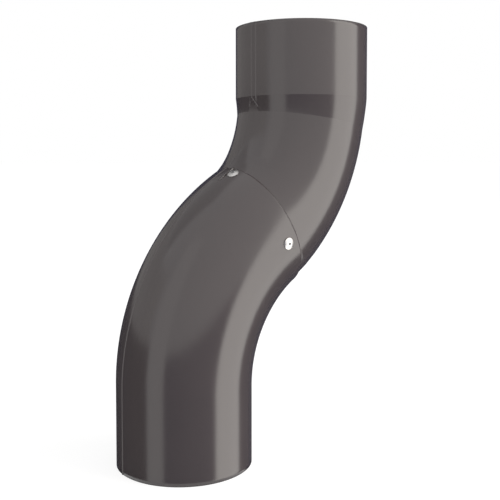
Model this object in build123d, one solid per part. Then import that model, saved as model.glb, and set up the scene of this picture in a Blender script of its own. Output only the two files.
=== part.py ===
"""Downpipe offset: two formed sheet-steel elbows, one lapped into the other and held by blind rivets.

The lower elbow is a plain pipe end that bends away from upright and grows a little towards its mouth.
The upper elbow hangs in that mouth by its narrow end, bends back to upright and ends in a wider socket.
Frame: origin at the centre of the lower rim, +Z up the pipe, +X the way the pipe steps sideways.
"""

import os
from math import asin, cos, degrees, radians, sin, sqrt, tan

from build123d import *

# Sheet, in millimetres, and the lap seam that runs the length of each pipe
SHEET = 0.6
SEAM_WIDTH = 7.6
SEAM_RAMP = 2.4

# Lower elbow: outside radii, length of its plain end, its seam's rise, and the seam's place in degrees
END_RADIUS = 49.0
MOUTH_GROWTH = 1.35
MOUTH_RADIUS = END_RADIUS + MOUTH_GROWTH
END_LENGTH = 57.0
LOWER_SEAM_RISE = 0.2
LOWER_SEAM = 182.0

# Upper elbow, from its narrow end up to the socket's rim. The narrow end has its play in the mouth, and the
# rest is sized from the lower elbow's plain end. Its seam is pressed flat towards the narrow end
JOINT_PLAY = 2.0
BODY_GROWTH = 0.8
SOCKET_GROWTH = 2.7
SPIGOT_RADIUS = MOUTH_RADIUS - SHEET - JOINT_PLAY
BODY_RADIUS = END_RADIUS + BODY_GROWTH
SOCKET_RADIUS = END_RADIUS + SOCKET_GROWTH
SOCKET_LENGTH = 55.0
NECK_LENGTH = 18.6
SPIGOT_SEAM_RISE = 0.04
BODY_SEAM_RISE = 0.12
SOCKET_SEAM_RISE = 0.5
UPPER_SEAM = 185.5

# The bend that both elbows share, the joint in the middle of it, and the mouth's cut in degrees past square
BEND_RADIUS = 129.5
JOINT_LEAN = 54.5
LAP = 20.0
JOINT_SHIFT = 1.6
MOUTH_SLANT = 4.3

# Blind rivets: aluminium body with a steel stem broken off inside it
RIVET_SHANK_RADIUS = 2.0
RIVET_HEAD_RADIUS = 4.2
RIVET_HEAD_HEIGHT = 1.2
RIVET_HEAD_EDGE = 0.4
RIVET_TAIL_RADIUS = 2.9
RIVET_TAIL_SEAT_RADIUS = 2.7
RIVET_TAIL_LENGTH = 3.6
STEM_RADIUS = 1.1
STEM_RECESS = 0.5
STEM_HEAD_RADIUS = 1.9
STEM_HEAD_LENGTH = 1.5
STEM_HEAD_ROUND = 0.9
HOLE_CLEARANCE = 0.05
STEM_CLEARANCE = 0.02
SEAT_CLEARANCE = 0.02

# Each rivet's place round the joint in degrees, and its distance from the mouth's edge
RIVET_PLACES = [(193.5, 6.0), (274.5, 9.5), (13.5, 9.5), (94.5, 9.5)]

# How far a swept elbow runs on past the plane that trims it
TRIM_SPARE = 4.0

# A cylinder that stands on its end
ON_END = (Align.CENTER, Align.CENTER, Align.MIN)


def heading(lean):
    """Unit vector up the pipe where its axis leans this many degrees from upright."""
    return Vector(sin(radians(lean)), 0, cos(radians(lean)))


def across(lean):
    """Unit vector square to the axis, in the plane of the bend, on the side that it leans to."""
    return Vector(cos(radians(lean)), 0, -sin(radians(lean)))


def arc_degrees(length):
    """Angle of the shared bend that an axis length takes up."""
    return degrees(length / BEND_RADIUS)


def station(point, lean):
    """Plane square to the pipe's axis, with its X on the side that the pipe leans to."""
    return Plane(origin=point, x_dir=across(lean), z_dir=heading(lean))


# The two bends curve opposite ways about these centres and run side by side in the middle of the lap
lower_centre = Vector(BEND_RADIUS, 0, END_LENGTH)
lower_joint = lower_centre - across(JOINT_LEAN) * BEND_RADIUS
upper_joint = lower_joint + across(JOINT_LEAN) * JOINT_SHIFT
upper_centre = upper_joint - across(JOINT_LEAN) * BEND_RADIUS

# Both axes lean this much where they end, half a lap past the joint, and the mouth's cut leans a little more
end_lean = JOINT_LEAN + arc_degrees(LAP / 2)
mouth_lean = end_lean + MOUTH_SLANT


def lower_axis(lean):
    """Point of the lower elbow's axis where it leans this much."""
    return lower_centre - across(lean) * BEND_RADIUS


def upper_axis(lean):
    """Point of the upper elbow's axis where it leans this much."""
    return upper_centre + across(lean) * BEND_RADIUS


def polar(radius, angle):
    """Point of a cross-section at a radius and an angle in degrees."""
    return (radius * cos(radians(angle)), radius * sin(radians(angle)))


def lapped_outline(radius, seam, rise):
    """Outside of the pipe's wall: a circle with the pressed lap seam standing a little proud.

    The outer ply's edge is a sharp step, and the seam's other side ramps down to the round.
    """
    outer = radius + rise
    half = degrees(SEAM_WIDTH / 2 / outer)
    edge, ramp, foot = seam - half, seam + half - degrees(SEAM_RAMP / outer), seam + half
    far = seam + 180
    outline = [
        Line(polar(radius, edge), polar(outer, edge)),
        ThreePointArc(polar(outer, edge), polar(outer, (edge + ramp) / 2), polar(outer, ramp)),
        Line(polar(outer, ramp), polar(radius, foot)),
        ThreePointArc(polar(radius, foot), polar(radius, far), polar(radius, edge + 360)),
    ]
    return make_face(outline)


def swept(place, first_lean, last_lean, first_section, last_section):
    """Bend whose cross-section changes evenly from one to the other along the arc."""
    path = ThreePointArc(place(first_lean), place((first_lean + last_lean) / 2), place(last_lean))
    first = station(place(first_lean), first_lean) * first_section
    last = station(place(last_lean), last_lean) * last_section
    return sweep([first, last], path=path, multisection=True)


def taper(lean, last_lean, first_value, last_value):
    """Value at a lean, on the even change from upright to another lean."""
    return first_value + (last_value - first_value) * lean / last_lean


def formed_pipe(stretches, seam):
    """Sheet pipe from its stretches: the lapped outside of them all, less the round inside."""
    def lapped(radius, rise):
        return lapped_outline(radius, seam, rise)

    def bore(radius, rise):
        return Circle(radius - SHEET)

    outside = Part() + [make(lapped) for make in stretches]
    inside = Part() + [make(bore) for make in stretches]
    return outside - inside


def make_lower_elbow():
    """Plain end, then the bend, swept past the mouth and trimmed there."""
    spare = MOUTH_RADIUS * tan(radians(MOUTH_SLANT)) + TRIM_SPARE
    sweep_lean = end_lean + arc_degrees(spare)
    sweep_radius = taper(sweep_lean, end_lean, END_RADIUS, MOUTH_RADIUS)

    def plain_end(section):
        return extrude(station(Vector(), 0) * section(END_RADIUS, LOWER_SEAM_RISE), amount=END_LENGTH)

    def bend(section):
        start = section(END_RADIUS, LOWER_SEAM_RISE)
        return swept(lower_axis, 0, sweep_lean, start, section(sweep_radius, LOWER_SEAM_RISE))

    pipe = formed_pipe([plain_end, bend], LOWER_SEAM)
    return split(pipe, bisect_by=station(lower_axis(end_lean), mouth_lean), keep=Keep.BOTTOM)


def make_upper_elbow():
    """Socket, neck, and the bend down to the narrow end in the mouth."""
    neck_lean = arc_degrees(NECK_LENGTH)

    def socket(section):
        rim = section(SOCKET_RADIUS, SOCKET_SEAM_RISE)
        return extrude(station(upper_axis(0), 0) * rim, amount=SOCKET_LENGTH)

    def neck(section):
        start = section(SOCKET_RADIUS, SOCKET_SEAM_RISE)
        return swept(upper_axis, 0, neck_lean, start, section(BODY_RADIUS, BODY_SEAM_RISE))

    def bend(section):
        start = section(BODY_RADIUS, BODY_SEAM_RISE)
        return swept(upper_axis, neck_lean, end_lean, start, section(SPIGOT_RADIUS, SPIGOT_SEAM_RISE))

    return formed_pipe([socket, neck, bend], UPPER_SEAM)


def mouth_edge_lean(angle):
    """Lean of the lower elbow's axis at the station where its cut edge crosses an angle round the pipe."""
    reach = BEND_RADIUS - MOUTH_RADIUS * cos(radians(angle))
    return mouth_lean - degrees(asin(BEND_RADIUS * sin(radians(MOUTH_SLANT)) / reach))


def rivet_place(angle, edge_distance):
    """Plane on the lower elbow's axis with its Z out through the rivet, square to the elbow's wall."""
    reach = BEND_RADIUS - MOUTH_RADIUS * cos(radians(angle))
    lean = mouth_edge_lean(angle) - degrees(edge_distance / reach)
    outward = across(lean) * cos(radians(angle)) + Vector(0, 1, 0) * sin(radians(angle))
    return Plane(origin=lower_axis(lean), x_dir=heading(lean), z_dir=outward)


def wall_reach(pipe, place, radius):
    """Least and greatest distances of a pipe's wall along a rivet, under a ring round the rivet's axis."""
    depth = place.z_dir * (MOUTH_RADIUS + RIVET_HEAD_RADIUS)
    reach = []
    for turn in range(0, 360, 90):
        start = place.from_local_coords(Vector(*polar(radius, turn)))
        crossing = Edge.make_line(start, start + depth) & pipe
        reach += [(vertex.center() - start).length for vertex in crossing.vertices()]
    return min(reach), max(reach)


def dome_drop(radius):
    """How far the domed head has fallen from its top at a radius."""
    rise = RIVET_HEAD_HEIGHT - RIVET_HEAD_EDGE
    ball = (RIVET_HEAD_RADIUS**2 + rise**2) / (2 * rise)
    return ball - sqrt(ball**2 - radius**2)


def rivet_body(head_seat, tail_seat):
    """Domed head, shank and set tail, bored for the stem, along +Z from the joint's axis outwards."""
    top = head_seat + RIVET_HEAD_HEIGHT
    rim = head_seat + RIVET_HEAD_EDGE
    tail_end = tail_seat - RIVET_TAIL_LENGTH
    bore = STEM_RADIUS + STEM_CLEARANCE
    middle = (bore + RIVET_HEAD_RADIUS) / 2
    crown = (middle, top - dome_drop(middle))
    lip = (bore, top - dome_drop(bore))
    profile = [
        Line((bore, tail_end), (RIVET_SHANK_RADIUS, tail_end)),
        ThreePointArc(
            (RIVET_SHANK_RADIUS, tail_end),
            (RIVET_TAIL_RADIUS, (tail_end + tail_seat) / 2),
            (RIVET_TAIL_SEAT_RADIUS, tail_seat),
        ),
        Line((RIVET_TAIL_SEAT_RADIUS, tail_seat), (RIVET_SHANK_RADIUS, tail_seat)),
        Line((RIVET_SHANK_RADIUS, tail_seat), (RIVET_SHANK_RADIUS, head_seat)),
        Line((RIVET_SHANK_RADIUS, head_seat), (RIVET_HEAD_RADIUS, head_seat)),
        Line((RIVET_HEAD_RADIUS, head_seat), (RIVET_HEAD_RADIUS, rim)),
        ThreePointArc((RIVET_HEAD_RADIUS, rim), crown, lip),
        Line(lip, (bore, tail_end)),
    ]
    face = Plane.XZ * make_face(profile)
    return revolve(face, axis=Axis.Z)


def rivet_stem(head_seat, tail_seat):
    """What is left of the pulled stem: a rod in the body's bore and the bulb that set the tail."""
    top = head_seat + RIVET_HEAD_HEIGHT - STEM_RECESS
    tail_end = tail_seat - RIVET_TAIL_LENGTH - STEM_CLEARANCE
    start = Pos(0, 0, tail_end)
    rod = start * Cylinder(STEM_RADIUS, top - tail_end, align=ON_END)
    bulb = start * Cylinder(STEM_HEAD_RADIUS, STEM_HEAD_LENGTH, align=(Align.CENTER, Align.CENTER, Align.MAX))
    bulb = fillet(bulb.edges().group_by(Axis.Z)[0], STEM_HEAD_ROUND)
    return rod + bulb


def main():
    lower_elbow = make_lower_elbow()
    upper_elbow = make_upper_elbow()
    parts = {}
    holes = []
    for number, (angle, edge_distance) in enumerate(RIVET_PLACES, start=1):
        place = rivet_place(angle, edge_distance)
        under_head = [wall_reach(lower_elbow, place, ring) for ring in (RIVET_SHANK_RADIUS, RIVET_HEAD_RADIUS)]
        over_tail = [wall_reach(upper_elbow, place, ring) for ring in (RIVET_SHANK_RADIUS, RIVET_TAIL_RADIUS)]
        head_seat = max(far for near, far in under_head) + SEAT_CLEARANCE
        tail_seat = min(near for near, far in over_tail) - SEAT_CLEARANCE
        parts[f"rivet_body_{number}"] = place * rivet_body(head_seat, tail_seat)
        parts[f"rivet_stem_{number}"] = place * rivet_stem(head_seat, tail_seat)
        hole = Cylinder(RIVET_SHANK_RADIUS + HOLE_CLEARANCE, head_seat + RIVET_HEAD_HEIGHT, align=ON_END)
        holes.append(place * hole)
    parts["lower_elbow"] = lower_elbow - holes
    parts["upper_elbow"] = upper_elbow - holes

    os.makedirs("parts", exist_ok=True)
    for name, part in parts.items():
        part.label = name
        export_step(part, f"parts/{name}.step")
        print(name, "solids", len(part.solids()), "volume", round(part.volume, 1))


main()
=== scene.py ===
# %% [markdown]
# # Downpipe offset
#
# The real thing is two elbows of round sheet-steel pipe. The upper one hangs with its narrow end in the mouth
# of the lower one, and blind rivets hold the lap. The steel is coated at the mill in a dark grey-brown
# polyester.
#
# The imported CAD model is the frame: its solids say where everything is, and Blender adds what the eye needs.
# We load it first.

# %% Load the frame
from math import cos, degrees, pi, radians, sin

import bmesh
import bpy
import numpy as np
from mathutils import Matrix, Vector


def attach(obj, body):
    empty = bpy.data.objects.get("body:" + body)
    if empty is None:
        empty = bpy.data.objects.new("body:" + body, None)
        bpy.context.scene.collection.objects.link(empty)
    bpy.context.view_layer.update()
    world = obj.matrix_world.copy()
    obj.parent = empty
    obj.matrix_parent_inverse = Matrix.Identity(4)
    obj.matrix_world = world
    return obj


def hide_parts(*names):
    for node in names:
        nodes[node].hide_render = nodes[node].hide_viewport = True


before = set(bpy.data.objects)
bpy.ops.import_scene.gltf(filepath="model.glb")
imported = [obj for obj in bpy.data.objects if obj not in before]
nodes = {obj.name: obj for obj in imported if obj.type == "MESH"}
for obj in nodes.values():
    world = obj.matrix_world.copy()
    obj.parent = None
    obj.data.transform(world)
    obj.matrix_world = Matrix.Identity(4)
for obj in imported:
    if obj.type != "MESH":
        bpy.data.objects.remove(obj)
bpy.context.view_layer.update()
MM = 0.001
print("nodes", sorted(nodes))

# %% [markdown]
# ## Two small helpers
#
# Colours are easiest to read as the hex values of a paint card, but Blender mixes light in linear numbers, so
# one function turns the one into the other. Shaders and Geometry Nodes are both made of nodes, so one function
# adds a node, sets it and links it. It hands back the node's first output, ready to be linked on.

# %% Colours and nodes
def linear(hex_colour):
    """The linear RGBA of an sRGB hex colour."""
    channels = [int(hex_colour[i:i + 2], 16) / 255 for i in (1, 3, 5)]
    return [c / 12.92 if c <= 0.04045 else ((c + 0.055) / 1.055) ** 2.4 for c in channels] + [1.0]


def add(tree, kind, inputs=None, **settings):
    """Adds a node with its settings, and sets or links its inputs, given by name or number."""
    node = tree.nodes.new(kind)
    for name, value in settings.items():
        setattr(node, name, value)
    for key, value in (inputs or {}).items():
        if isinstance(value, bpy.types.NodeSocket):
            tree.links.new(value, node.inputs[key])
        else:
            node.inputs[key].default_value = value
    return node.outputs[0] if len(node.outputs) else node


print("a mid grey in linear light", [round(c, 3) for c in linear("#808080")])

# %% [markdown]
# ## The camera comes first
#
# The photograph looks at the part from its left front, a little above the middle, through a longish lens. Its
# verticals are nearly parallel, so the camera is almost level and its frame is shifted down instead of tilted.

# %% Camera
CAMERA_PLACE = Vector((-0.29956, -0.48711, 0.21953))
CAMERA_AIM = Vector((0.59236, 0.80400, -0.05192))
SENSOR_WIDTH, FOCAL_LENGTH, FRAME_SHIFT = 36.0, 57.25, -0.1

lens = bpy.data.cameras.new("camera")
lens.sensor_width, lens.lens, lens.shift_y = SENSOR_WIDTH, FOCAL_LENGTH, FRAME_SHIFT
camera = bpy.data.objects.new("camera", lens)
camera.location = CAMERA_PLACE
camera.rotation_euler = CAMERA_AIM.to_track_quat("-Z", "Y").to_euler()
bpy.context.scene.collection.objects.link(camera)
bpy.context.scene.camera = camera
print("camera at", [round(v, 3) for v in camera.location])

# %% [markdown]
# ## The sizes that the elbows share with the CAD
#
# Millimetres and degrees, as a sheet-metal worker would note them. Both pipes bend on the same radius, the
# lower one away from upright and the upper one back to it. The two axes run side by side at the joint.

# %% Sizes
SHEET = 0.6
BEND = 129.5
JOINT_LEAN, JOINT_SHIFT, HALF_LAP, MOUTH_SLANT = 54.5, 1.6, 10.0, 4.3
END_RADIUS, MOUTH_RADIUS, END_LENGTH = 49.0, 50.35, 57.0
SOCKET_RADIUS, BODY_RADIUS, SPIGOT_RADIUS = 51.7, 49.8, 47.75
SOCKET_LENGTH, NECK_LENGTH = 55.0, 18.6

end_lean = JOINT_LEAN + degrees(HALF_LAP / BEND)
joint_x = BEND * (1 - cos(radians(JOINT_LEAN))) + JOINT_SHIFT * cos(radians(JOINT_LEAN))
joint_z = END_LENGTH + (BEND - JOINT_SHIFT) * sin(radians(JOINT_LEAN))
upper_centre_x = joint_x - BEND * cos(radians(JOINT_LEAN))
socket_top_z = joint_z + BEND * sin(radians(JOINT_LEAN)) + SOCKET_LENGTH
print("socket rim at", round(upper_centre_x + BEND, 2), round(socket_top_z, 2))
print("elbows lean to", round(end_lean, 2), "degrees")

# %% [markdown]
# ## An elbow is a rule
#
# A formed pipe could be modelled by hand or swept by a curve and a bevel. Here a rule says it all: a straight
# stretch, then a bend on a fixed radius, with a radius that changes along the way and an end that may be cut
# aslant. So Geometry Nodes bend a flat grid into the pipe. One side of the grid runs along the pipe and the
# other runs round it. The columns stand close together near the lap seam, where the fine steps are.
#
# The same tree makes both elbows. Side is -1 for the pipe that bends towards +X and 1 for the one that bends
# back. The grid's two long edges meet where the circle closes, and merging by distance joins them there.

# %% The elbow tree
MERGE_DISTANCE = 0.002
MATHS, RAMP, STORE = "ShaderNodeMath", "ShaderNodeMapRange", "GeometryNodeStoreNamedAttribute"
ELBOW_INPUTS = {
    "NodeSocketInt": ("Rows", "Columns"),
    "NodeSocketFloat": (
        "Straight Share", "Seam From", "Seam To", "Seam Share From", "Seam Share To", "Side", "Centre X",
        "Start Z", "Straight Length", "Bend Radius", "Start Radius", "Body Radius", "End Radius", "Neck Lean",
        "End Lean", "Slant",
    ),
    "NodeSocketMaterial": ("Coating",),
}


def elbow_tree():
    """The node tree that bends a flat grid into an elbow, in millimetres."""
    tree = bpy.data.node_groups.new("formed elbow", "GeometryNodeTree")
    for kind, names in ELBOW_INPUTS.items():
        for name in names:
            tree.interface.new_socket(name, in_out="INPUT", socket_type=kind)
    tree.interface.new_socket("Pipe", in_out="OUTPUT", socket_type="NodeSocketGeometry")
    given = tree.nodes.new("NodeGroupInput").outputs
    bend, slant, side = given["Bend Radius"], given["Slant"], given["Side"]
    straight_share, neck_lean = given["Straight Share"], given["Neck Lean"]

    rows = add(tree, MATHS, {0: given["Rows"], 1: 1.0}, operation="ADD")
    columns = add(tree, MATHS, {0: given["Columns"], 1: 1.0}, operation="ADD")
    grid = add(tree, "GeometryNodeMeshGrid", {"Vertices X": rows, "Vertices Y": columns})
    position = add(tree, "GeometryNodeInputPosition")
    flat = add(tree, "ShaderNodeSeparateXYZ", {0: position}).node.outputs
    along = add(tree, MATHS, {0: flat["X"], 1: 0.5}, operation="ADD")
    round_share = add(tree, MATHS, {0: flat["Y"], 1: 0.5}, operation="ADD")

    # Angle round the pipe: even on the plain sides, and close together between the seam's two angles
    seam_from, seam_to = given["Seam From"], given["Seam To"]
    share_from, share_to = given["Seam Share From"], given["Seam Share To"]
    seam = add(tree, MATHS, {0: seam_to, 1: seam_from}, operation="SUBTRACT")
    rest = add(tree, MATHS, {0: 2 * pi, 1: seam_to}, operation="SUBTRACT")
    before = add(tree, RAMP, {"Value": round_share, "From Max": share_from, "To Max": seam_from})
    within = add(tree, RAMP, {
        "Value": round_share, "From Min": share_from, "From Max": share_to, "To Max": seam,
    })
    after = add(tree, RAMP, {"Value": round_share, "From Min": share_to, "To Max": rest})
    up_to_seam = add(tree, MATHS, {0: before, 1: within}, operation="ADD")
    angle = add(tree, MATHS, {0: up_to_seam, 1: after}, operation="ADD")
    round_cos = add(tree, MATHS, {0: angle}, operation="COSINE")
    round_sin = add(tree, MATHS, {0: angle}, operation="SINE")

    # Lean of the axis where the cut end crosses this angle, and the lean and height of this row
    end_out = add(tree, MATHS, {0: given["End Radius"], 1: round_cos}, operation="MULTIPLY")
    reach = add(tree, MATHS, {0: bend, 1: end_out}, operation="SUBTRACT")
    slant_sin = add(tree, MATHS, {0: slant}, operation="SINE")
    cut_offset = add(tree, MATHS, {0: bend, 1: slant_sin}, operation="MULTIPLY")
    cut = add(tree, MATHS, {0: cut_offset, 1: reach}, operation="DIVIDE")
    cut_lean = add(tree, MATHS, {0: cut}, operation="ARCSINE")
    full_lean = add(tree, MATHS, {0: given["End Lean"], 1: slant}, operation="ADD")
    last_lean = add(tree, MATHS, {0: full_lean, 1: cut_lean}, operation="SUBTRACT")
    height = add(tree, RAMP, {
        "Value": along, "From Max": straight_share, "To Max": given["Straight Length"],
    })
    lean = add(tree, RAMP, {"Value": along, "From Min": straight_share, "To Max": last_lean})

    # Radius: one change over the neck, another over the rest of the bend
    necked = add(tree, RAMP, {
        "Value": lean, "From Max": neck_lean, "To Min": given["Start Radius"], "To Max": given["Body Radius"],
    })
    growth = add(tree, MATHS, {0: given["End Radius"], 1: given["Body Radius"]}, operation="SUBTRACT")
    grown = add(tree, RAMP, {
        "Value": lean, "From Min": neck_lean, "From Max": given["End Lean"], "To Max": growth,
    })
    radius = add(tree, MATHS, {0: necked, 1: grown}, operation="ADD")

    # The point, measured from the centre of the bend
    side_bend = add(tree, MATHS, {0: side, 1: bend}, operation="MULTIPLY")
    out = add(tree, MATHS, {0: radius, 1: round_cos}, operation="MULTIPLY")
    arm = add(tree, MATHS, {0: side_bend, 1: out}, operation="ADD")
    lean_cos = add(tree, MATHS, {0: lean}, operation="COSINE")
    lean_sin = add(tree, MATHS, {0: lean}, operation="SINE")
    arm_x = add(tree, MATHS, {0: arm, 1: lean_cos}, operation="MULTIPLY")
    arm_z = add(tree, MATHS, {0: arm, 1: lean_sin}, operation="MULTIPLY")
    side_height = add(tree, MATHS, {0: side, 1: height}, operation="MULTIPLY")
    straight = add(tree, MATHS, {0: given["Start Z"], 1: side_height}, operation="SUBTRACT")
    x = add(tree, MATHS, {0: given["Centre X"], 1: arm_x}, operation="ADD")
    y = add(tree, MATHS, {0: radius, 1: round_sin}, operation="MULTIPLY")
    z = add(tree, MATHS, {0: straight, 1: arm_z}, operation="SUBTRACT")
    place = add(tree, "ShaderNodeCombineXYZ", {"X": x, "Y": y, "Z": z})

    # Each point keeps where it is on the sheet, for the relief and for its UV map
    lean_length = add(tree, MATHS, {0: lean, 1: bend}, operation="MULTIPLY")
    axis_length = add(tree, MATHS, {0: height, 1: lean_length}, operation="ADD")
    lean_left = add(tree, MATHS, {0: last_lean, 1: lean}, operation="SUBTRACT")
    edge_length = add(tree, MATHS, {0: lean_left, 1: reach}, operation="MULTIPLY")
    kept = grid
    for name, value in (("round", angle), ("along", axis_length), ("to_edge", edge_length), ("lean", lean)):
        kept = add(tree, STORE, {"Geometry": kept, "Name": name, "Value": value})
    sheet_place = add(tree, "ShaderNodeCombineXYZ", {"X": round_share, "Y": along})
    kept = add(
        tree, STORE, {"Geometry": kept, "Name": "UVMap", "Value": sheet_place},
        data_type="FLOAT2", domain="CORNER",
    )
    bent = add(tree, "GeometryNodeSetPosition", {"Geometry": kept, "Position": place})
    closed = add(tree, "GeometryNodeMergeByDistance", {"Geometry": bent, "Distance": MERGE_DISTANCE})
    real = add(tree, "GeometryNodeRealizeInstances", {"Geometry": closed})
    coated = add(tree, "GeometryNodeSetMaterial", {"Geometry": real, "Material": given["Coating"]})
    add(tree, "NodeGroupOutput", {"Pipe": coated})
    print("elbow tree", len(tree.nodes), "nodes")
    return tree


formed_elbow = elbow_tree()

# %% [markdown]
# ## Two pipes from one tree
#
# A modifier's inputs are set by each socket's identifier, before the object is first evaluated. What comes out
# is kept as a plain mesh, because the sheet still has to be formed, thickened and finished. Here we also make
# sure that its faces point outwards: one side of the rule bends the grid the other way up and turns it inside
# out. The first faces stand on the straight stretch, so they tell which way the pipe faces.

# %% Make an elbow
FIRST_FACES = 40
LEVEL = Vector((1, 1, 0))


def make_elbow(name, tree, sizes):
    """The tree's pipe as a plain mesh in metres, with its faces outwards."""
    blank = bpy.data.meshes.new("blank")
    made = bpy.data.objects.new(name, blank)
    bpy.context.scene.collection.objects.link(made)
    modifier = made.modifiers.new("elbow", "NODES")
    modifier.node_group = tree
    for item in tree.interface.items_tree:
        if item.in_out == "INPUT" and item.name in sizes:
            modifier[item.identifier] = sizes[item.name]
    depsgraph = bpy.context.evaluated_depsgraph_get()
    pipe = bpy.data.meshes.new_from_object(made.evaluated_get(depsgraph))
    made.modifiers.remove(modifier)
    made.data = pipe
    bpy.data.meshes.remove(blank)
    pipe.name = name
    shell = bmesh.new()
    shell.from_mesh(pipe)
    bmesh.ops.recalc_face_normals(shell, faces=shell.faces)
    open_edges = sum(edge.is_boundary for edge in shell.edges)
    shell.faces.ensure_lookup_table()
    axis = Vector((sizes["Axis X"], 0, 0))
    outwards = sum(
        face.normal.dot((face.calc_center_median() - axis) * LEVEL) for face in shell.faces[:FIRST_FACES]
    )
    if outwards < 0:
        bmesh.ops.reverse_faces(shell, faces=shell.faces)
    shell.to_mesh(pipe)
    shell.free()
    pipe.transform(Matrix.Scale(MM, 4))
    print(name, len(pipe.polygons), "faces,", open_edges, "open edges, two rims have", 2 * sizes["Columns"])
    return made


# %% Grid spacing and the two pipes
FINE_STEP, PLAIN_STEP = 0.26, 2.5
FINE_FROM, FINE_TO = 172.0, 193.0
STRAIGHT_ROWS, BEND_ROWS = 20, 150


def spacing():
    """Columns and rows, and where the fine columns begin and end as shares of them all."""
    first = round(FINE_FROM / PLAIN_STEP)
    fine = round((FINE_TO - FINE_FROM) / FINE_STEP)
    last = round((360 - FINE_TO) / PLAIN_STEP)
    columns, rows = first + fine + last, STRAIGHT_ROWS + BEND_ROWS
    return {
        "Rows": rows, "Columns": columns, "Straight Share": STRAIGHT_ROWS / rows,
        "Seam From": radians(FINE_FROM), "Seam To": radians(FINE_TO),
        "Seam Share From": first / columns, "Seam Share To": (first + fine) / columns,
    }


lower_elbow = make_elbow("lower_elbow_sheet", formed_elbow, {
    **spacing(), "Side": -1.0, "Axis X": 0.0, "Centre X": BEND, "Start Z": 0.0,
    "Straight Length": END_LENGTH, "Bend Radius": BEND, "Start Radius": END_RADIUS,
    "Body Radius": END_RADIUS, "End Radius": MOUTH_RADIUS, "Neck Lean": 0.0, "End Lean": radians(end_lean),
    "Slant": radians(MOUTH_SLANT),
})
upper_elbow = make_elbow("upper_elbow_sheet", formed_elbow, {
    **spacing(), "Side": 1.0, "Axis X": upper_centre_x + BEND, "Centre X": upper_centre_x,
    "Start Z": socket_top_z, "Straight Length": SOCKET_LENGTH, "Bend Radius": BEND,
    "Start Radius": SOCKET_RADIUS, "Body Radius": BODY_RADIUS, "End Radius": SPIGOT_RADIUS,
    "Neck Lean": NECK_LENGTH / BEND, "End Lean": radians(end_lean), "Slant": 0.0,
})

# %% [markdown]
# ## What forming leaves on the sheet
#
# The lap seam is a folded edge that runs the length of each pipe, and the forming tools leave other marks
# beside it. Sculpting would do, but these marks follow the sheet. So each is a height in millimetres, read off
# a short list of corners over the angle round the pipe or the length along it, and it moves the points along
# the sheet's own normal.

# %% Relief helpers
def stored(mesh, name):
    """A stored attribute as numbers, one for each point."""
    values = np.empty(len(mesh.vertices), np.float32)
    mesh.attributes[name].data.foreach_get("value", values)
    return values.astype(float)


def profile(values, corners):
    """Height over a value by straight lines between (value, height) corners, level past both ends."""
    places, heights = zip(*corners)
    return np.interp(values, places, heights)


def raise_sheet(mesh, heights):
    """Moves each point along its normal by a height in millimetres."""
    points = np.empty(len(mesh.vertices) * 3, np.float32)
    normals = np.empty(len(mesh.vertices) * 3, np.float32)
    mesh.vertices.foreach_get("co", points)
    mesh.vertex_normals.foreach_get("vector", normals)
    moved = points.reshape(-1, 3) + normals.reshape(-1, 3) * (heights * MM)[:, None]
    mesh.vertices.foreach_set("co", moved.astype(np.float32).ravel())
    mesh.update()
    low, high = round(float(heights.min()), 2), round(float(heights.max()), 2)
    print(mesh.name, "moved from", low, "to", high, "mm")


for elbow in (lower_elbow, upper_elbow):
    print(elbow.name, "mm along its axis", round(stored(elbow.data, "along").max(), 1))

# %% [markdown]
# Where the lower elbow is drawn into its bend, the fold shows as one fine lip. A short bead stands up beside
# the first rivet, and the mouth's edge is eased inwards so that it catches less light. Angles are in degrees
# round the pipe, and the bead's are measured from its own middle.

# %% Lower elbow: seam lip, bead and mouth edge
LIP = [(176.7, 0), (177.1, 0.56), (177.4, 0.58), (178.3, 0.06), (179.2, 0.04), (190, 0)]
BEAD_ANGLE = 187.6
BEAD = [(-2.2, 0), (-0.5, 0.75), (-0.1, 0.8), (0.2, -0.1), (0.9, -0.1), (1.4, 0)]
BEAD_LENGTH = [(0, 1), (13, 1), (19, 0)]
MOUTH_EDGE = [(0, -0.3), (0.3, -0.1), (0.8, 0)]


def lower_relief(mesh):
    angle, to_edge = np.degrees(stored(mesh, "round")), stored(mesh, "to_edge")
    bead = profile(angle - BEAD_ANGLE, BEAD) * profile(to_edge, BEAD_LENGTH)
    raise_sheet(mesh, profile(angle, LIP) + bead + profile(to_edge, MOUTH_EDGE))


lower_relief(lower_elbow.data)

# %% [markdown]
# On the socket the fold is a low strip between two creases. The neck tool has pinched it into a small peak
# with two legs and a hollow between them, and only a faint line is left of it on the bend.

# %% Upper elbow: socket strip, neck peak and bend line
STRIP = [(182, 0), (182.3, -0.08), (182.6, 0.3), (184, 0.52), (184.3, 0.52), (185.1, 0.2),
         (188.4, 0.32), (188.8, 0.32), (189.6, 0.02), (190.5, -0.08), (191.3, 0)]
STRIP_LENGTH = [(0, 1), (60, 1), (64, 0)]
LEG_RUN = 9.0
RIGHT_LEG, LEFT_LEG = (59.5, 186.0, 190.5), (57.5, 182.2, 179.6)
RIGHT_CREASE = [(-1.4, 0), (-0.9, -0.1), (-0.25, 0.36), (0.25, 0.36), (0.8, 0)]
LEFT_FOLD = [(-0.8, 0), (-0.3, 0.2), (0.3, 0.2), (0.9, -0.1), (1.4, 0)]
LEG_LENGTH = [(56, 0), (58, 1), (67, 1), (69.5, 0)]
LEFT_OF_RIGHT_LEG, RIGHT_OF_LEFT_LEG = [(-1.2, 1), (-0.6, 0)], [(0.6, 0), (1.2, 1)]
HOLLOW_DEPTH = 0.25
HOLLOW_LENGTH = [(57, 0), (60, 1), (65, 1), (75, 0)]
LINE = [(178.2, 0), (178.7, 0.1), (179.1, 0.1), (179.9, 0)]
LINE_LENGTH = [(70, 0), (76, 1), (150, 1), (165, 0)]


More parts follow.
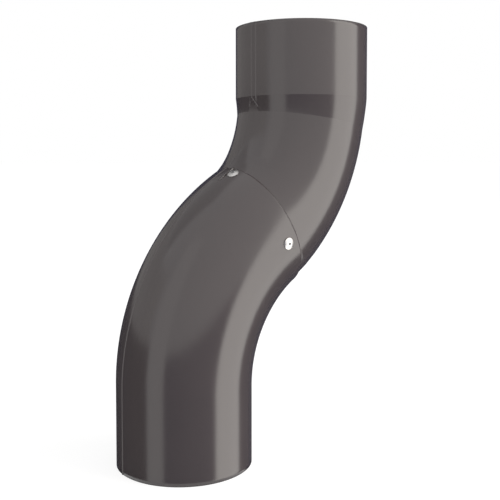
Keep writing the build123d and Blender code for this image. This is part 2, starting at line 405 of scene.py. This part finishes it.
def from_leg(angle, along, leg):
    """Degrees past a leg of the peak, given by its start along the pipe and its first and last angles."""
    start, first, last = leg
    return angle - (first + (along - start) * (last - first) / LEG_RUN)


def seam_relief(angle, along):
    """Heights of the socket's strip, the neck's peak and the line on the bend."""
    from_right, from_left = from_leg(angle, along, RIGHT_LEG), from_leg(angle, along, LEFT_LEG)
    strip = profile(angle, STRIP) * profile(along, STRIP_LENGTH)
    legs = profile(along, LEG_LENGTH) * (profile(from_right, RIGHT_CREASE) + profile(from_left, LEFT_FOLD))
    between = profile(from_right, LEFT_OF_RIGHT_LEG) * profile(from_left, RIGHT_OF_LEFT_LEG)
    hollow = HOLLOW_DEPTH * profile(along, HOLLOW_LENGTH) * between
    return strip + legs - hollow + profile(angle, LINE) * profile(along, LINE_LENGTH)


print("peak's legs start at", RIGHT_LEG[0], "and", LEFT_LEG[0], "mm from the socket's rim")

# %% [markdown]
# The upper elbow also swells beside the mouth, most on the side of the seam and not at all opposite, so that
# the two pipes stand nearly flush there. The swelling isn't held clear of the lower sheet, so at the mouth the
# two meshes still cross. That is a fault of this model and not of the real part.

# %% Upper elbow: swelling beside the mouth
SWELL_TO_SEAM, SWELL_TO_SIDES = 0.95, 0.55
SWELL_LENGTH = [(11, 0), (15, 1), (24, 1), (42, 0.6), (66, 0.12), (80, 0)]


def upper_relief(mesh):
    turn, along, to_edge = stored(mesh, "round"), stored(mesh, "along"), stored(mesh, "to_edge")
    swell_round = SWELL_TO_SEAM * (1 - np.cos(turn)) + SWELL_TO_SIDES * np.sin(turn) ** 2
    swell = swell_round * profile(to_edge, SWELL_LENGTH)
    raise_sheet(mesh, seam_relief(np.degrees(turn), along) + swell)


upper_relief(upper_elbow.data)

# %% [markdown]
# ## Coated steel
#
# The sheet is galvanised steel with a polyester coat, rolled on at the mill and baked. That gives a satin skin
# with a faint orange peel under a millimetre wide, and the forming rolls leave slow waves in it. So the shader
# is a plain dielectric with a little roughness, and both textures are bumps sized in real millimetres.

# %% Polyester-coated steel
MOTTLE_SIZE, PEEL_SIZE, WAVE_SIZE = 35 * MM, 0.9 * MM, 30 * MM
PEEL_DEPTH, WAVE_DEPTH = 0.012 * MM, 0.08 * MM


def new_material(name):
    """A material with an empty node tree."""
    material = bpy.data.materials.new(name)
    material.use_nodes = True
    material.node_tree.nodes.clear()
    return material


def coated_steel():
    material = new_material("polyester_coated_steel")
    tree = material.node_tree
    place = add(tree, "ShaderNodeTexCoord").node.outputs["Object"]
    mottle = add(tree, "ShaderNodeTexNoise", {
        "Vector": place, "Scale": 1 / MOTTLE_SIZE, "Detail": 3.0, "Roughness": 0.6,
    })
    colour = add(
        tree, "ShaderNodeMix", {"Factor": mottle, 6: linear("#544E4F"), 7: linear("#585152")},
        data_type="RGBA",
    ).node.outputs[2]
    peel = add(tree, "ShaderNodeTexNoise", {"Vector": place, "Scale": 1 / PEEL_SIZE, "Detail": 1.0})
    wave = add(tree, "ShaderNodeTexNoise", {"Vector": place, "Scale": 1 / WAVE_SIZE, "Detail": 1.0})
    waved = add(tree, "ShaderNodeBump", {"Height": wave, "Strength": 0.5, "Distance": WAVE_DEPTH})
    skin = add(tree, "ShaderNodeBump", {
        "Height": peel, "Strength": 0.35, "Distance": PEEL_DEPTH, "Normal": waved,
    })
    shine = add(tree, "ShaderNodeMapRange", {"Value": mottle, "To Min": 0.16, "To Max": 0.21})
    surface = add(tree, "ShaderNodeBsdfPrincipled", {
        "Base Color": colour, "Roughness": shine, "IOR": 1.56, "Normal": skin,
    })
    add(tree, "ShaderNodeOutputMaterial", {"Surface": surface})
    return material


coating = coated_steel()
print("material", coating.name)

# %% [markdown]
# The guillotine leaves the 0.6 mm edge bare: zinc smeared over steel, dull and grey. It shows as a hairline.

# %% Cut edge
DRAG_SIZE = 1.2 * MM


def cut_edge():
    material = new_material("sheared_zinc_edge")
    tree = material.node_tree
    place = add(tree, "ShaderNodeTexCoord").node.outputs["Object"]
    drag = add(tree, "ShaderNodeTexNoise", {"Vector": place, "Scale": 1 / DRAG_SIZE, "Detail": 2.0})
    colour = add(
        tree, "ShaderNodeMix", {"Factor": drag, 6: linear("#6F7173"), 7: linear("#8E9194")},
        data_type="RGBA",
    ).node.outputs[2]
    surface = add(tree, "ShaderNodeBsdfPrincipled", {
        "Base Color": colour, "Metallic": 1.0, "Roughness": 0.5,
    })
    add(tree, "ShaderNodeOutputMaterial", {"Surface": surface})
    return material


bare_edge = cut_edge()
print("material", bare_edge.name)

# %% [markdown]
# ## From surface to sheet
#
# So far each pipe is a skin with no thickness. Solidify gives it the sheet's 0.6 mm towards the inside, and
# puts the bare edge on the rims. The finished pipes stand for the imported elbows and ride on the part's one
# body. An edge that turns by more than a few degrees is kept sharp, so that the fine creases stay crisp.

# %% Sheet thickness and hand-over
SHARP_ANGLE = 4
CUBIC_CM = 1e6


def finish_pipe(pipe, node):
    """Coats and thickens a pipe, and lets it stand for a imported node."""
    pipe.data.materials.clear()
    pipe.data.materials.append(coating)
    pipe.data.materials.append(bare_edge)
    pipe.data.shade_smooth()
    pipe.data.set_sharp_from_angle(angle=radians(SHARP_ANGLE))
    wall = pipe.modifiers.new("sheet", "SOLIDIFY")
    wall.thickness, wall.offset, wall.use_even_offset = SHEET * MM, -1.0, True
    wall.material_offset_rim = 1
    bpy.context.view_layer.update()
    skin = pipe.data
    solid = bpy.data.meshes.new_from_object(pipe.evaluated_get(bpy.context.evaluated_depsgraph_get()))
    pipe.modifiers.remove(wall)
    pipe.data = solid
    bpy.data.meshes.remove(skin)
    solid.name = pipe.name
    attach(pipe, "root")
    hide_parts(node)
    check = bmesh.new()
    check.from_mesh(solid)
    loose = sum(not edge.is_manifold for edge in check.edges)
    volume = check.calc_volume(signed=True) * CUBIC_CM
    check.free()
    triangles = sum(len(face.vertices) - 2 for face in solid.polygons)
    print(pipe.name, "triangles", triangles, "open edges", loose, "wall volume in cm3", round(volume, 1))


finish_pipe(lower_elbow, "lower_elbow")
finish_pipe(upper_elbow, "upper_elbow")

# %% [markdown]
# ## Rivets
#
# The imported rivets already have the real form: a domed head, the bore in its middle and the broken stem down
# in it. They keep their meshes and only get their metals. The body is soft aluminium, tumbled until it is
# evenly dull. The stem is drawn steel, darker, and rough where it snapped.

# %% Rivet metals
def metal(name, dark, light, roughness, grain, depth):
    """A bare metal with a fine uneven surface, its grain and depth in metres."""
    material = new_material(name)
    tree = material.node_tree
    place = add(tree, "ShaderNodeTexCoord").node.outputs["Object"]
    dents = add(tree, "ShaderNodeTexNoise", {"Vector": place, "Scale": 1 / grain, "Detail": 2.0})
    colour = add(
        tree, "ShaderNodeMix", {"Factor": dents, 6: linear(dark), 7: linear(light)}, data_type="RGBA",
    ).node.outputs[2]
    bumps = add(tree, "ShaderNodeBump", {"Height": dents, "Strength": 0.5, "Distance": depth})
    surface = add(tree, "ShaderNodeBsdfPrincipled", {
        "Base Color": colour, "Metallic": 1.0, "Roughness": roughness, "Normal": bumps,
    })
    add(tree, "ShaderNodeOutputMaterial", {"Surface": surface})
    return material


rivet_metal = metal("tumbled_aluminium", "#C8C6C4", "#D4D2D0", 0.34, 0.8 * MM, 0.01 * MM)
stem_metal = metal("snapped_steel", "#6A6B6D", "#8A8B8D", 0.5, 0.4 * MM, 0.03 * MM)
for name, node in nodes.items():
    if name.startswith("rivet"):
        node.data.materials.clear()
        node.data.materials.append(rivet_metal if "body" in name else stem_metal)

# %% [markdown]
# ## Floor and world
#
# The photograph was taken in a white studio, so the floor and the background are white for the camera. The
# floor is a grey paper that glows enough to come out white and still shows the part's shadow. Gloss and glass
# would show the white background too, so the world's Light Path adds their rays. All other rays meet a plainer
# level. The floor is hidden from gloss, so that the panels further down show in the coat and not the floor.

# %% Floor
WHITE = [1.0, 1.0, 1.0, 1.0]
FLOOR_REACH, FLOOR_GLOW = 30.0, 0.8


def white_floor():
    material = new_material("studio_floor")
    tree = material.node_tree
    paper = add(tree, "ShaderNodeBsdfDiffuse", {"Color": linear("#A8A8A8")})
    glow = add(tree, "ShaderNodeEmission", {"Color": WHITE, "Strength": FLOOR_GLOW})
    lifted = add(tree, "ShaderNodeAddShader", {0: paper, 1: glow})
    plain = add(tree, "ShaderNodeBsdfDiffuse", {"Color": linear("#DCDCDC")})
    seen = add(tree, "ShaderNodeLightPath").node.outputs["Is Camera Ray"]
    surface = add(tree, "ShaderNodeMixShader", {0: seen, 1: plain, 2: lifted})
    add(tree, "ShaderNodeOutputMaterial", {"Surface": surface})
    mesh = bpy.data.meshes.new("floor")
    corners = [(x * FLOOR_REACH, y * FLOOR_REACH, 0) for x, y in ((-1, -1), (1, -1), (1, 1), (-1, 1))]
    mesh.from_pydata(corners, [], [(0, 1, 2, 3)])
    mesh.materials.append(material)
    floor = bpy.data.objects.new("floor", mesh)
    bpy.context.scene.collection.objects.link(floor)
    floor.visible_glossy = False
    return floor


print("floor", white_floor().name)


# %% World
WORLD_LEVEL = 0.54


def studio_world(level):
    """A white world for the camera, gloss and glass, and one of a plain level for other rays."""
    world = bpy.data.worlds.new("studio")
    bpy.context.scene.world = world
    world.use_nodes = True
    tree = world.node_tree
    tree.nodes.clear()
    rays = add(tree, "ShaderNodeLightPath").node.outputs
    mirrored = add(
        tree, "ShaderNodeMath", {0: rays["Is Glossy Ray"], 1: rays["Is Transmission Ray"]},
        operation="MAXIMUM",
    )
    white = add(tree, "ShaderNodeMath", {0: rays["Is Camera Ray"], 1: mirrored}, operation="MAXIMUM")
    strength = add(tree, "ShaderNodeMapRange", {"Value": white, "To Min": level, "To Max": 1.0})
    sky = add(tree, "ShaderNodeBackground", {"Color": WHITE, "Strength": strength})
    add(tree, "ShaderNodeOutputWorld", {"Surface": sky})
    return world


print("world", studio_world(WORLD_LEVEL).name)

# %% [markdown]
# ## Directions in the studio
#
# They are easiest to give as angles to the right of the line from the part back to the camera, so one function
# turns such an angle into a direction.

# %% Directions
BACK = Vector((-CAMERA_AIM.x, -CAMERA_AIM.y, 0)).normalized()
RIGHT = Vector((CAMERA_AIM.y, -CAMERA_AIM.x, 0)).normalized()
MIDDLE = Vector((0.055, 0.0, 0.16))


def towards(angle):
    """The level direction at an angle to the right of the camera."""
    return BACK * cos(radians(angle)) + RIGHT * sin(radians(angle))


print("square to the right of the camera", [round(v, 2) for v in towards(90)])

# %% [markdown]
# ## Lamps
#
# A long bright band runs down the right of the coat. Five tall lamps side by side make it, each a little dimmer
# than the one before, counted away from the camera. A weak strip lights the left, and a fill that gloss doesn't
# show lifts the body. A lamp is given by its radiance, which is how bright it looks in a mirror.

# %% Lamps
LAMP_COLOUR = (1.04, 1.0, 0.93)
BAND_DISTANCE, BAND_LOW, BAND_HIGH = 3.0, -2.5, 4.0
BANK_FROM, TUBE_ANGLE = 57, 10
BANK_RADIANCES = (2.55, 2.35, 2.1, 1.9, 1.65)


def band_light(name, start, stop, distance, low, high, radiance, mirrored=True):
    """A tall area lamp between two angles, as bright as its radiance where it is mirrored."""
    angle, width = (start + stop) / 2, 2 * distance * np.tan(radians((stop - start) / 2))
    data = bpy.data.lights.new(name, "AREA")
    data.shape, data.size, data.size_y = "RECTANGLE", width, high - low
    data.energy = radiance * pi * width * (high - low)
    data.color = LAMP_COLOUR
    lamp = bpy.data.objects.new(name, data)
    place = MIDDLE + towards(angle) * distance
    lamp.location = Vector((place.x, place.y, (low + high) / 2))
    lamp.rotation_euler = (-towards(angle)).to_track_quat("-Z", "Y").to_euler()
    lamp.visible_glossy = mirrored
    bpy.context.scene.collection.objects.link(lamp)
    print(name, "m wide", round(width, 2), "watts", round(data.energy))


for tube, radiance in enumerate(BANK_RADIANCES):
    start = BANK_FROM + TUBE_ANGLE * tube
    band_light(f"right_bank_{tube}", start, start + TUBE_ANGLE, BAND_DISTANCE, BAND_LOW, BAND_HIGH, radiance)
band_light("left_strip", -58, -30, BAND_DISTANCE, BAND_LOW, BAND_HIGH, 0.22)
band_light("fill", 30, 90, 2.5, 0.3, 2.5, 0.5, mirrored=False)

# %% [markdown]
# ## Panels for the gloss
#
# A glossy coat looks like what stands round it. A photographer hangs black and grey flags out of the picture to
# give such a coat its dark edges and its dark lower part, and so do we. The panels show in gloss alone. They
# light nothing and cast no shadow, so the colour of the coat stays as it is written.
#
# Low skirts darken what the coat mirrors near the ground, a dark panel behind draws the edges, higher ones keep
# the sky behind from glaring, and six greys to the left step down from light to dark.

# %% One panel
PANEL_RADIUS, PANEL_STEP = 6.0, 5


def hang_flag(name, mesh, colour):
    """Makes a mesh into a flag of one colour that is seen only in gloss."""
    material = new_material(name)
    tree = material.node_tree
    surface = add(tree, "ShaderNodeEmission", {"Color": linear(colour)})
    add(tree, "ShaderNodeOutputMaterial", {"Surface": surface})
    mesh.materials.append(material)
    flag = bpy.data.objects.new(name, mesh)
    bpy.context.scene.collection.objects.link(flag)
    flag.visible_camera = flag.visible_diffuse = flag.visible_transmission = flag.visible_shadow = False
    print(name, len(mesh.polygons), "faces")


def panel(name, start, stop, low, top, colour, radius=PANEL_RADIUS):
    """A curved panel between two angles and two heights."""
    points, faces = [], []
    for step in range(round((stop - start) / PANEL_STEP) + 1):
        out = towards(start + PANEL_STEP * step) * radius
        points += [(MIDDLE.x + out.x, out.y, low), (MIDDLE.x + out.x, out.y, top)]
        if step:
            faces.append((2 * step - 2, 2 * step, 2 * step + 1, 2 * step - 1))
    mesh = bpy.data.meshes.new(name)
    mesh.from_pydata(points, [], faces)
    hang_flag(name, mesh, colour)


# %% All panels
FOOT, TOP, ROOF = -4.0, 4.0, 14.0
SKIRT_DROP = 0.02
GREY_FROM, GREY_ANGLE, GREY_RADIUS = -65, 15, 6.2
LEFT_GREYS = ("#E8E6E2", "#DAD8D6", "#CECCCA", "#C0BEBC", "#B0AEAC", "#989694")

panel("skirt_left", -155, -60, FOOT, 0.55, "#2E2E36")
panel("skirt_front", -30, 55, FOOT, MIDDLE.z - SKIRT_DROP, "#505470")
panel("black_behind", 110, 205, FOOT, TOP, "#2C3046")
panel("high_right", 100, 155, TOP, ROOF, "#B4B4B4")
panel("high_behind", 155, 205, TOP, 7.0, "#383838")
panel("top_behind", 155, 205, 7.0, ROOF, "#B4B4B4")
panel("high_left", 205, 260, TOP, ROOF, "#B4B4B4")
for step, colour in enumerate(LEFT_GREYS):
    stop = GREY_FROM - GREY_ANGLE * step
    panel(f"left_grey_{step}", stop - GREY_ANGLE, stop, FOOT, TOP, colour, GREY_RADIUS)

# %% [markdown]
# ## Last steps
#
# The colours are shown as they are, with no film look.

# %% View transform
bpy.context.scene.view_settings.view_transform = "Standard"
